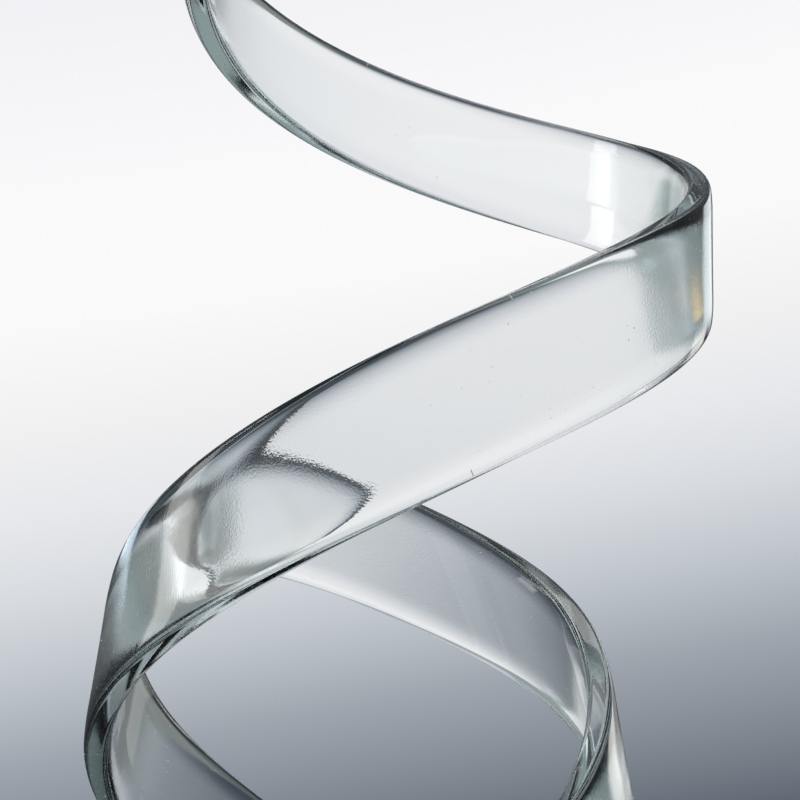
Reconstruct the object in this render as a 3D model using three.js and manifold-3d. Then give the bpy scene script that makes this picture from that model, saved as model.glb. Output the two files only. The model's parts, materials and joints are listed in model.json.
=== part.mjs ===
// Glass ribbon sculpture: two clear glass ribbons wound as an open double helix, each held at its
// foot by a bolted clamp on a round metal base.
// Millimetres, +Z up, origin at the middle of the underside, front towards -Y.

import * as THREE from 'three';
import { mergeVertices } from 'three/addons/utils/BufferGeometryUtils.js';
import Module from 'manifold-3d';

const wasm = await Module();
wasm.setup();

// The coil that both ribbons follow. Its axis leans sideways on its way up.
const ovalness = 0.08;            // half the share by which the coil is deeper than wide
const lean = 0.08;                // sideways step of the axis for each step up
const glassThickness = 5.5;
const glassEdgeRadius = 1.7;      // fire-polished long edges
const bendLength = 90;            // stretch in which a ribbon turns from upright into the coil
const easeStretch = 100;          // glass length over which each ribbon's ease and bank gain are given

// The tall ribbon: angles in degrees, lengths along the glass
const tallRadius = 60;            // centre line, from the coil's axis
const tallWidth = 26;
const tallLength = 760;
const tallFootAngle = 54;         // 0 is to the right, 90 is at the back
const tallSlope = 34.4;           // climb where the bend ends
const tallEase = 3.6;             // how much flatter it gets over each ease stretch
const tallBank = -15;             // tilt of the face where the bend ends, inwards is negative
const tallBankGain = 4.8;         // how much it tilts outwards over each ease stretch
const tallDroop = 12;             // how much its end turns down from the climb
const tallDroopLength = 85;       // glass length over which it does so
const tallTipLength = 64;         // in which the width runs out to the rounded end

// The short ribbon starts half a turn away, inside the tall one
const shortRadius = 49;
const shortWidth = 27;
const shortLength = 359;
const shortFootAngle = tallFootAngle - 180;
const shortSlope = 37.8;
const shortEase = 8.4;
const shortBank = -12.5;
const shortBankGain = 0;
const shortDroop = 35;
const shortDroopLength = 85;
const shortTipLength = 68;

// The base and the cork under it
const baseThickness = 22;
const baseMargin = 20;            // how far the base reaches past the coil
const baseTopRound = 3;
const baseBottomChamfer = 1;
const padThickness = 3;
const padInset = 5;               // from the base's edge to the cork's

// The clamps
const clampFloor = 4;             // plate of the L under the glass
const clampWall = 8;              // upright of the L, outside the glass
const plateThickness = 6;         // loose plate, inside the glass
const gripHeight = 16;            // height of wall and loose plate above the clamp's floor
const footClear = 2;              // straight glass left above the grip before the bend
const clampSideMargin = 9;        // how far the clamp reaches past each edge of the glass
const clampRound = 0.8;           // rounded edges of both clamp parts
const linerThickness = 1.2;
const linerProud = 0.8;           // how far a liner shows above the clamp
const settingThickness = 2;
const settingInset = 1.5;         // at each end of the setting block
const clearance = 0.3;            // between all pieces that meet

// Fasteners: socket head screws
const clampScrewRadius = 1.5;
const clampScrewHeadRadius = 2.75;
const clampScrewHeadHeight = 3;
const clampScrewSocket = 2.5;     // across flats
const clampScrewBite = 6;         // how far the screw reaches into the wall
const baseBoltRadius = 2;
const baseBoltHeadRadius = 3.5;
const baseBoltHeadHeight = 4;
const baseBoltSocket = 3;
const baseBoltBite = 12;          // how far the bolt reaches into the clamp
const baseBoltSpacing = 18;
const baseBoltRecess = 1;         // from the base's underside up to the bolt's head
const washerRadius = 4.5;
const washerThickness = 0.8;

// Fineness of the faceted surfaces
const glassStep = 6.5;            // between sections along a ribbon
const tipSections = 7;            // at least, in a rounded end
const cornerPoints = 3;           // on each rounded corner of the glass section
const baseSides = 72;
const screwSides = 18;
const traceStep = 0.5;            // of the sums that lay out a ribbon's centre line

const footLength = gripHeight + footClear;
const baseRadius = tallRadius * (1 + ovalness) + baseMargin;
const baseBottom = padThickness + clearance;
const baseTop = baseBottom + baseThickness;
const gripBottom = clearance + clampFloor;            // above the base
const gripTop = gripBottom + gripHeight;
const glassBottom = gripBottom + 2 * clearance + settingThickness;
const linerOffset = glassThickness / 2 + clearance;   // from the middle of the glass
const gripOffset = linerOffset + linerThickness + clearance;

const glass = material(0xe4efec, 0.04, 0, 0.45);
const blackMetal = material(0x1b1c1e, 0.42, 0.9);
const steel = material(0xb9bcbe, 0.3, 1);
const screwSteel = material(0x9c9fa2, 0.32, 1);
const silicone = material(0x3c3f41, 0.6, 0);
const cork = material(0xa97c50, 0.9, 0);

const tall = {
  radius: tallRadius, width: tallWidth, length: tallLength, footAngle: tallFootAngle, slope: tallSlope,
  ease: tallEase, bank: tallBank, bankGain: tallBankGain, droop: tallDroop,
  droopLength: tallDroopLength, tipLength: tallTipLength,
};
const short = {
  radius: shortRadius, width: shortWidth, length: shortLength, footAngle: shortFootAngle, slope: shortSlope,
  ease: shortEase, bank: shortBank, bankGain: shortBankGain, droop: shortDroop,
  droopLength: shortDroopLength, tipLength: shortTipLength,
};

function material(color, roughness, metalness, opacity = 1) {
  return new THREE.MeshStandardMaterial({ color, roughness, metalness, opacity, transparent: opacity < 1 });
}

// The ribbon's path

function smooth(value) {
  const share = THREE.MathUtils.clamp(value, 0, 1);
  return share * share * (3 - 2 * share);
}

// 0 on the straight foot, 1 once the ribbon follows the coil
function coilShare(along) {
  return smooth((along - footLength) / bendLength);
}

function stretchesPastBend(along) {
  return Math.max(along - footLength - bendLength, 0) / easeStretch;
}

// 90 degrees is straight up
function slopeAt(ribbon, along) {
  const droop = ribbon.droop * smooth(1 - (ribbon.length - along) / ribbon.droopLength);
  const onCoil = ribbon.slope - ribbon.ease * stretchesPastBend(along) - droop;
  return THREE.MathUtils.degToRad(90 + (onCoil - 90) * coilShare(along));
}

function bankAt(ribbon, along) {
  const onCoil = ribbon.bank + ribbon.bankGain * stretchesPastBend(along);
  return THREE.MathUtils.degToRad(onCoil * coilShare(along));
}

// Sections of the ribbon at the given lengths along it: its middle, and the directions across its
// width (upwards on the coil) and through its thickness (outwards)
function traceRibbon(ribbon, stations) {
  const frames = [];
  let along = 0;
  let turn = THREE.MathUtils.degToRad(ribbon.footAngle);
  let height = 0;
  let shift = 0;
  for (const station of stations) {
    const steps = Math.max(1, Math.ceil((station - along) / traceStep));
    const step = (station - along) / steps;
    for (let i = 0; i < steps; i++) {
      const slope = slopeAt(ribbon, along + step / 2);
      turn += Math.cos(slope) * step / ribbon.radius;
      height += Math.sin(slope) * step;
      shift += lean * Math.sin(slope) * step * coilShare(along + step / 2);
      along += step;
    }
    frames.push(frameAt(ribbon, station, turn, height, shift));
  }
  return frames;
}

function frameAt(ribbon, along, turn, height, shift) {
  const angle = turn + ovalness / 2 * Math.sin(2 * turn);
  const radius = ribbon.radius * (1 - ovalness * Math.cos(2 * angle));
  const growth = 2 * ribbon.radius * ovalness * Math.sin(2 * angle);
  const cos = Math.cos(angle);
  const sin = Math.sin(angle);
  const middle = new THREE.Vector3(shift + radius * cos, radius * sin, height);
  const forward = new THREE.Vector3(growth * cos - radius * sin, growth * sin + radius * cos, 0).normalize();
  const outward = new THREE.Vector3(forward.y, -forward.x, 0);
  const slope = slopeAt(ribbon, along);
  const upward = forward.clone().multiplyScalar(-Math.sin(slope));
  upward.z = Math.cos(slope);
  const bank = bankAt(ribbon, along);
  const across = upward.clone().multiplyScalar(Math.cos(bank)).addScaledVector(outward, Math.sin(bank));
  const through = outward.clone().multiplyScalar(Math.cos(bank)).addScaledVector(upward, -Math.sin(bank));
  return { middle, across, through };
}

// The coil's axis starts off centre by half of its lean, so that the coil stays over the base
const tallRise = traceRibbon(tall, [tallLength])[0].middle.z;
const axisStart = new THREE.Vector3(-lean * tallRise / 2, 0, baseTop + glassBottom);

// The glass

// Half sizes of the section at a distance from the tip: the end is half of a long oval
function sectionAt(ribbon, fromTip) {
  const round = (reach) => Math.sqrt(1 - (1 - Math.min(fromTip / reach, 1)) ** 2);
  return {
    halfWidth: ribbon.width / 2 * round(ribbon.tipLength),
    halfThickness: glassThickness / 2 * round(glassEdgeRadius),
  };
}

// Rounded rectangle, counter-clockwise with the width along u and the thickness along v
function sectionOutline({ halfWidth, halfThickness }) {
  const corner = Math.min(glassEdgeRadius, halfWidth * 0.9, halfThickness * 0.9);
  const outline = [];
  for (let quarter = 0; quarter < 4; quarter++) {
    const u = [1, -1, -1, 1][quarter] * (halfWidth - corner);
    const v = [1, 1, -1, -1][quarter] * (halfThickness - corner);
    for (let i = 0; i < cornerPoints; i++) {
      const angle = (quarter + i / (cornerPoints - 1)) * Math.PI / 2;
      outline.push(new THREE.Vector2(u + corner * Math.cos(angle), v + corner * Math.sin(angle)));
    }
  }
  return outline;
}

function ribbonGeometry(ribbon) {
  const tipStart = ribbon.length - ribbon.tipLength;
  const steps = Math.ceil(tipStart / glassStep);
  const stations = [];
  for (let i = 0; i <= steps; i++) stations.push(tipStart * i / steps);
  const tipSteps = Math.max(tipSections, Math.ceil(Math.PI / 2 * ribbon.tipLength / glassStep));
  for (let i = 1; i <= tipSteps; i++) {
    const share = Math.sin(Math.PI / 2 * i / (tipSteps + 0.5));
    stations.push(tipStart + ribbon.tipLength * share);
  }
  const rings = traceRibbon(ribbon, stations).map((frame, i) => {
    const outline = sectionOutline(sectionAt(ribbon, ribbon.length - stations[i]));
    return outline.map(({ x, y }) => frame.middle.clone()
      .addScaledVector(frame.across, x)
      .addScaledVector(frame.through, y)
      .add(axisStart));
  });
  return loft(rings);
}

// Closed body through rings of equal counts, each a convex outline
function loft(rings) {
  const count = rings[0].length;
  const positions = rings.flat().flatMap((point) => [point.x, point.y, point.z]);
  const index = [];
  for (let r = 0; r + 1 < rings.length; r++) {
    for (let i = 0; i < count; i++) {
      const a = r * count + i;
      const b = r * count + (i + 1) % count;
      index.push(a, b, a + count, b, b + count, a + count);
    }
  }
  const last = (rings.length - 1) * count;
  for (let i = 1; i + 1 < count; i++) {
    index.push(0, i + 1, i);
    index.push(last, last + i, last + i + 1);
  }
  const geometry = new THREE.BufferGeometry();
  geometry.setAttribute('position', new THREE.Float32BufferAttribute(positions, 3));
  geometry.setIndex(index);
  geometry.computeVertexNormals();
  return geometry;
}

// Cutting

function toSolid(geometry) {
  const bare = geometry.clone();
  bare.deleteAttribute('normal');
  bare.deleteAttribute('uv');
  const merged = mergeVertices(bare, 1e-4);
  return new wasm.Manifold(new wasm.Mesh({
    numProp: 3,
    vertProperties: new Float32Array(merged.attributes.position.array),
    triVerts: new Uint32Array(merged.index.array),
  }));
}

function cut(geometry, cutters) {
  let solid = toSolid(geometry);
  for (const cutter of cutters) solid = solid.subtract(toSolid(cutter));
  const mesh = solid.getMesh();
  const result = new THREE.BufferGeometry();
  result.setAttribute('position', new THREE.Float32BufferAttribute(mesh.vertProperties, 3));
  result.setIndex([...mesh.triVerts]);
  return result.toNonIndexed();
}

// Upright cylinder or prism between two heights
function rod(radius, low, high, sides = screwSides) {
  return new THREE.CylinderGeometry(radius, radius, high - low, sides)
    .rotateX(Math.PI / 2)
    .translate(0, 0, (low + high) / 2);
}

// Turned body from [radius, height] pairs that start and end on the axis, bottom to top
function turned(profile, sides) {
  return new THREE.LatheGeometry(profile.map(([x, y]) => new THREE.Vector2(x, y)), sides).rotateX(Math.PI / 2);
}

// The base

function baseGeometry(boltPlaces) {
  const round = [0, 1, 2, 3, 4].map((i) => {
    const angle = i / 4 * Math.PI / 2;
    return [
      baseRadius - baseTopRound * (1 - Math.cos(angle)),
      baseThickness - baseTopRound * (1 - Math.sin(angle)),
    ];
  });
  const disc = turned([
    [0, 0],
    [baseRadius - baseBottomChamfer, 0],
    [baseRadius, baseBottomChamfer],
    ...round,
    [0, baseThickness],
  ], baseSides);
  const counterbore = baseBoltRecess + baseBoltHeadHeight + washerThickness + 2 * clearance;
  const cutters = boltPlaces.flatMap(({ x, y }) => [
    rod(baseBoltRadius + clearance, -1, baseThickness + 1).translate(x, y, 0),
    rod(washerRadius + clearance, -1, counterbore).translate(x, y, 0),
  ]);
  return cut(disc, cutters);
}

function padGeometry() {
  return rod(baseRadius - padInset, 0, padThickness, baseSides);
}

// The clamps, each in its own frame: middle of the glass at x = 0, y = 0, outwards is +y, and the
// base's top is z = 0

function clampScrewX(ribbon) {
  return ribbon.width / 2 + clampSideMargin / 2;
}

function clampScrewZ() {
  return gripBottom + gripHeight / 2;
}

function baseBoltY() {
  return gripOffset + clampWall / 2;
}

// Outline in the y-z plane with rounded corners, drawn out along x
function clampBar(outline, width) {
  const shape = new THREE.Shape();
  outline.forEach(([y, z], i) => {
    const [yBefore, zBefore] = outline.at(i - 1);
    const [yAfter, zAfter] = outline[(i + 1) % outline.length];
    const corner = new THREE.Vector2(y, z);
    const from = new THREE.Vector2(yBefore - y, zBefore - z).setLength(clampRound).add(corner);
    const to = new THREE.Vector2(yAfter - y, zAfter - z).setLength(clampRound).add(corner);
    if (i === 0) shape.moveTo(from.x, from.y);
    else shape.lineTo(from.x, from.y);
    shape.quadraticCurveTo(y, z, to.x, to.y);
  });
  const bevel = clampRound / 2;
  return new THREE.ExtrudeGeometry(shape, {
    depth: width - 2 * bevel,
    bevelThickness: bevel,
    bevelSize: bevel,
    bevelOffset: -bevel,
    bevelSegments: 2,
    curveSegments: 3,
  }).translate(0, 0, bevel - width / 2).applyMatrix4(new THREE.Matrix4().set(
    0, 0, 1, 0,
    1, 0, 0, 0,
    0, 1, 0, 0,
    0, 0, 0, 1,
  ));
}

function sides(x) {
  return [-x, x];
}

function jawGeometry(ribbon) {
  const inner = -gripOffset - plateThickness;
  const outer = gripOffset + clampWall;
  const bar = clampBar([
    [inner, clearance],
    [outer, clearance],
    [outer, gripTop],
    [gripOffset, gripTop],
    [gripOffset, gripBottom],
    [inner, gripBottom],
  ], ribbon.width + 2 * clampSideMargin);
  const screwHoles = sides(clampScrewX(ribbon)).map((x) => (
    rod(clampScrewRadius + clearance, -gripOffset - clampScrewBite - clearance, -gripOffset + 1)
      .rotateX(Math.PI / 2)
      .translate(x, 0, clampScrewZ())
  ));
  const boltHoles = sides(baseBoltSpacing / 2).map((x) => (
    rod(baseBoltRadius + clearance, -1, baseBoltBite + 2 * clearance).translate(x, baseBoltY(), 0)
  ));
  return cut(bar, [...screwHoles, ...boltHoles]);
}

function plateGeometry(ribbon) {
  const outer = -gripOffset - plateThickness;
  const bar = clampBar([
    [outer, gripBottom + clearance],
    [-gripOffset, gripBottom + clearance],
    [-gripOffset, gripTop],
    [outer, gripTop],
  ], ribbon.width + 2 * clampSideMargin);
  const holes = sides(clampScrewX(ribbon)).flatMap((x) => [
    rod(clampScrewRadius + clearance, -1, plateThickness + 1),
    rod(clampScrewHeadRadius + clearance, plateThickness - clampScrewHeadHeight - clearance, plateThickness + 1),
  ].map((hole) => hole.rotateX(Math.PI / 2).translate(x, -gripOffset, clampScrewZ())));
  return cut(bar, holes);
}

function linerGeometry(ribbon) {
  const bottom = gripBottom + clearance;
  const height = gripTop + linerProud - bottom;
  return new THREE.BoxGeometry(ribbon.width, linerThickness, height).translate(0, 0, bottom + height / 2);
}

function settingGeometry(ribbon) {
  return new THREE.BoxGeometry(ribbon.width - 2 * settingInset, glassThickness, settingThickness)
    .translate(0, 0, gripBottom + clearance + settingThickness / 2);
}

// Socket head screw, head up, with the underside of its head at z = 0
function screwGeometry({ radius, length, headRadius, headHeight, socket }) {
  const edge = radius * 0.2;
  const body = turned([
    [0, -length],
    [radius - edge, -length],
    [radius, edge - length],
    [radius, 0],
    [headRadius, 0],
    [headRadius, headHeight - edge],
    [headRadius - edge, headHeight],
    [0, headHeight],
  ], screwSides);
  const hexagon = rod(socket / Math.sqrt(3), headHeight / 2, headHeight + 1, 6);
  return cut(body, [hexagon]);
}

function washerGeometry() {
  const inner = baseBoltRadius + clearance;
  const outline = [
    [inner, 0], [washerRadius, 0], [washerRadius, washerThickness], [inner, washerThickness], [inner, 0],
  ];
  return turned(outline, screwSides);
}

function clampScrewGeometry() {
  const underHead = plateThickness - clampScrewHeadHeight;
  return screwGeometry({
    radius: clampScrewRadius,
    length: underHead + 2 * gripOffset + clampScrewBite,
    headRadius: clampScrewHeadRadius,
    headHeight: clampScrewHeadHeight,
    socket: clampScrewSocket,
  });
}

function baseBoltGeometry() {
  const underHead = baseThickness - baseBoltRecess - baseBoltHeadHeight;
  return screwGeometry({
    radius: baseBoltRadius,
    length: underHead + clearance + baseBoltBite,
    headRadius: baseBoltHeadRadius,
    headHeight: baseBoltHeadHeight,
    socket: baseBoltSocket,
  });
}

// Putting it together

function piece(name, geometry, finish) {
  const mesh = new THREE.Mesh(geometry, finish.clone());
  mesh.name = name;
  return mesh;
}

// Group whose frame is the clamp's, at the foot of a ribbon
function clampGroup(ribbon) {
  const [foot] = traceRibbon(ribbon, [0]);
  const group = new THREE.Group();
  group.position.set(axisStart.x + foot.middle.x, foot.middle.y, baseTop);
  group.rotation.z = Math.atan2(foot.through.y, foot.through.x) - Math.PI / 2;
  return group;
}

function buildClamp(prefix, ribbon) {
  const group = clampGroup(ribbon);
  group.add(piece(`${prefix}_clamp_jaw`, jawGeometry(ribbon), steel));
  group.add(piece(`${prefix}_clamp_plate`, plateGeometry(ribbon), steel));
  group.add(piece(`${prefix}_setting_block`, settingGeometry(ribbon), silicone));
  const linerY = linerOffset + linerThickness / 2;
  for (const [side, y] of [['outer', linerY], ['inner', -linerY]]) {
    const liner = piece(`${prefix}_${side}_liner`, linerGeometry(ribbon), silicone);
    liner.position.y = y;
    group.add(liner);
  }
  for (const [side, sign] of [['left', -1], ['right', 1]]) {
    const screw = piece(`${prefix}_clamp_screw_${side}`, clampScrewGeometry(), screwSteel);
    screw.position.set(
      sign * clampScrewX(ribbon),
      -gripOffset - plateThickness + clampScrewHeadHeight,
      clampScrewZ(),
    );
    screw.rotation.x = Math.PI / 2;
    const bolt = piece(`${prefix}_base_bolt_${side}`, baseBoltGeometry(), screwSteel);
    bolt.position.set(
      sign * baseBoltSpacing / 2,
      baseBoltY(),
      baseBoltRecess + baseBoltHeadHeight - baseThickness,
    );
    bolt.rotation.x = Math.PI;
    const washer = piece(`${prefix}_bolt_washer_${side}`, washerGeometry(), steel);
    washer.position.copy(bolt.position);
    washer.position.z += clearance;
    group.add(screw, bolt, washer);
  }
  return group;
}

function boltPlaces(ribbon) {
  const group = clampGroup(ribbon);
  group.updateMatrixWorld();
  return sides(baseBoltSpacing / 2).map((x) => new THREE.Vector3(x, baseBoltY(), 0).applyMatrix4(group.matrixWorld));
}

const sculpture = new THREE.Group();
const base = piece('base_disc', baseGeometry([...boltPlaces(tall), ...boltPlaces(short)]), blackMetal);
base.position.z = baseBottom;
sculpture.add(
  piece('tall_ribbon', ribbonGeometry(tall), glass),
  piece('short_ribbon', ribbonGeometry(short), glass),
  buildClamp('tall', tall),
  buildClamp('short', short),
  base,
  piece('base_pad', padGeometry(), cork),
);

export default sculpture;
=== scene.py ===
# Glass ribbon sculpture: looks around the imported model.
# Two clear glass ribbons grow out of a Geometry Nodes tree that follows the coil. The base, the
# clamps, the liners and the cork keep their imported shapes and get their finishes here.

import json
import math

import bpy
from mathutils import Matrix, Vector


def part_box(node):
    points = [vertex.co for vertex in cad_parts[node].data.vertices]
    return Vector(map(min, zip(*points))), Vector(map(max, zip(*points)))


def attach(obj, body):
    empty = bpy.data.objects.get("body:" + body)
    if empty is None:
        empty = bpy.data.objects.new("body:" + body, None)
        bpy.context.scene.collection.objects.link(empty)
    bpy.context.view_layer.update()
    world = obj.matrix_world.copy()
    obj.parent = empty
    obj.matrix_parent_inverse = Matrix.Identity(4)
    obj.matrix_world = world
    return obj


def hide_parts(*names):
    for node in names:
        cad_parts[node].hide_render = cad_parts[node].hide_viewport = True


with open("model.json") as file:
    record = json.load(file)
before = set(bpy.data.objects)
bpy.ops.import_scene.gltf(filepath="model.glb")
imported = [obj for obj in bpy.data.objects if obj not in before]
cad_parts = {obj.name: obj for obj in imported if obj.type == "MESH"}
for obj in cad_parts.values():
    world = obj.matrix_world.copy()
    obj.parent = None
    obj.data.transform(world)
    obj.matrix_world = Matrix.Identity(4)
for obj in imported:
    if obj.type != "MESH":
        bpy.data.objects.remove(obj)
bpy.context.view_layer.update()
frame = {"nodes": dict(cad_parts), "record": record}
print("frame loaded:", len(frame["nodes"]), "nodes")

scene = bpy.context.scene
mm = 0.001
degree = math.pi / 180
gainLength = 100  # millimetres over which the ribbons' ease and bank gain are given

# The coil that both ribbons follow, in millimetres
coil = dict(
    ovalness=0.08,  # deeper than wide
    lean=0.08,  # sideways step for each step up
    thickness=5.5,
    edgeRadius=1.35,  # fire-polished long edges
    edgeLoss=0.16,  # what the polishing takes off each long edge
    footLength=18,  # straight glass held by the clamp
    bendLength=90,
    crown=0.16,  # how much the faces swell in the middle
    rollWidth=4.8,  # strip along each long edge in which the faces fall away
    rollDepth=0.48,  # how far they fall away
    wave=0.14,  # slow unevenness of hand-drawn glass
    waveLength=34,
)

# Lengths in millimetres and angles in degrees
ribbons = dict(
    tall=dict(radius=60, width=26, length=760, footAngle=54, slope=34.4, ease=3.6,
              bank=-15, bankGain=4.8, droop=12, droopLength=85, tipLength=64,
              rows=1000, tipRows=110, seed=2.0),
    short=dict(radius=49, width=27, length=359, footAngle=-126, slope=37.8, ease=8.4,
               bank=-12.5, bankGain=0, droop=35, droopLength=85, tipLength=68,
               rows=560, tipRows=110, seed=7.0),
)
sectionPoints = 96  # round the section, a multiple of four
tiny = 0.0001  # metres, keeps divisions at the tip away from zero


def smooth(value):
    share = min(max(value, 0), 1)
    return share * share * (3 - 2 * share)


def slopeAt(ribbon, along):  # in radians, from level
    past = max(along - coil["footLength"] - coil["bendLength"], 0) / gainLength
    droop = ribbon["droop"] * smooth(1 - (ribbon["length"] - along) / ribbon["droopLength"])
    onCoil = ribbon["slope"] - ribbon["ease"] * past - droop
    share = smooth((along - coil["footLength"]) / coil["bendLength"])
    return (90 + (onCoil - 90) * share) * degree


def riseOf(ribbon, step=0.5):  # how high a ribbon climbs
    steps = round(ribbon["length"] / step)
    return sum(math.sin(slopeAt(ribbon, (i + 0.5) * step)) * step for i in range(steps))


# The leaning axis starts off centre, so that the coil stays over the base
axisStart = -coil["lean"] * riseOf(ribbons["tall"]) / 2 * mm
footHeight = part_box("tall_ribbon")[0].z


# Node helpers

class NodeWriter:
    def __init__(self, tree):
        self.tree = tree

    def add(self, kind, **settings):
        node = self.tree.nodes.new(kind)
        for name, value in settings.items():
            setattr(node, name, value)
        return node

    def feed(self, socket, value):
        if isinstance(value, bpy.types.NodeSocket):
            self.tree.links.new(value, socket)
        else:
            socket.default_value = value

    def math(self, operation, *values, clamp=False):
        node = self.add("ShaderNodeMath", operation=operation, use_clamp=clamp)
        for i, value in enumerate(values):
            self.feed(node.inputs[i], value)
        return node.outputs[0]

    def vector(self, operation, *values):
        node = self.add("ShaderNodeVectorMath", operation=operation)
        for i, value in enumerate(values):
            name = "Scale" if operation == "SCALE" and i == 1 else i
            self.feed(node.inputs[name], value)
        return node.outputs[0]

    def combine(self, x, y, z):
        node = self.add("ShaderNodeCombineXYZ")
        for socket, value in zip(node.inputs, (x, y, z)):
            self.feed(socket, value)
        return node.outputs[0]

    def remap(self, value, fromLow, fromHigh, toLow, toHigh, smoothly=False):
        node = self.add("ShaderNodeMapRange", clamp=True)
        node.interpolation_type = "SMOOTHSTEP" if smoothly else "LINEAR"
        for socket, number in zip(node.inputs, (value, fromLow, fromHigh, toLow, toHigh)):
            self.feed(socket, number)
        return node.outputs[0]

    def noise(self, vector, scale, detail=2.0, roughness=0.5, dimensions="3D", w=0.0):
        node = self.add("ShaderNodeTexNoise", noise_dimensions=dimensions)
        self.feed(node.inputs["Vector"], vector)
        for name, value in dict(Scale=scale, Detail=detail, Roughness=roughness).items():
            self.feed(node.inputs[name], value)
        if dimensions == "4D":
            self.feed(node.inputs["W"], w)
        return node.outputs[0]

    def ramp(self, value, *stops):
        node = self.add("ShaderNodeValToRGB")
        elements = node.color_ramp.elements
        while len(elements) < len(stops):
            elements.new(0.5)
        for element, (position, colour) in zip(elements, stops):
            element.position = position
            element.color = (*colour, 1)
        self.feed(node.inputs[0], value)
        return node.outputs[0]

    def mixColour(self, share, first, second):
        node = self.add("ShaderNodeMix", data_type="RGBA")
        self.feed(node.inputs[0], share)
        for socket, value in ((node.inputs[6], first), (node.inputs[7], second)):
            self.feed(socket, value if isinstance(value, bpy.types.NodeSocket) else (*value, 1))
        return node.outputs[2]


def newGroup(name, kind, inputs, outputs):
    group = bpy.data.node_groups.new(name, kind)
    for direction, sockets in (("INPUT", inputs), ("OUTPUT", outputs)):
        for label, sort in sockets:
            group.interface.new_socket(label, in_out=direction, socket_type="NodeSocket" + sort)
    n = NodeWriter(group)
    return group, n, n.add("NodeGroupInput").outputs, n.add("NodeGroupOutput").inputs


def newGeometryGroup(name, floats, integers):
    inputs = [("Geometry", "Geometry"), *((label, "Float") for label in floats),
              *((label, "Int") for label in integers), ("Material", "Material")]
    return newGroup(name, "GeometryNodeTree", inputs, [("Geometry", "Geometry")])


def finishGroup(n, given, result, geometry):
    real = n.add("GeometryNodeRealizeInstances")
    n.feed(real.inputs[0], geometry)
    finished = n.add("GeometryNodeSetMaterial")
    n.feed(finished.inputs["Geometry"], real.outputs[0])
    n.feed(finished.inputs["Material"], given["Material"])
    n.feed(result[0], finished.outputs[0])


def grow(name, mesh, group, values):
    obj = bpy.data.objects.new(name, mesh)
    scene.collection.objects.link(obj)
    modifier = obj.modifiers.new("grow", "NODES")
    modifier.node_group = group
    sockets = {s.name: s.identifier for s in group.interface.items_tree if s.in_out == "INPUT"}
    for label, value in values.items():
        modifier[sockets[label]] = value
    graph = bpy.context.evaluated_depsgraph_get()
    grown = bpy.data.meshes.new_from_object(obj.evaluated_get(graph))
    obj.modifiers.clear()
    obj.data = grown
    grown.name = name
    bpy.data.meshes.remove(mesh)
    return obj


# The ribbons

cornerSharpness = 4.0  # how soon the flats reach their full width
cornerFrom, cornerTo = 0.15, 0.55  # the part of a quarter section that turns the corner
mostCorner = 0.9  # of half a side, where the tip gets narrower than its corners
mostRoll = 0.6  # of half the width, for the strips along the edges
sideStep = 0.3  # share of the thickness over which inner side changes to outer side
seedStep = 1.3  # between the waves of the inner and of the outer face
mergeDistance = 0.000004


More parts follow.
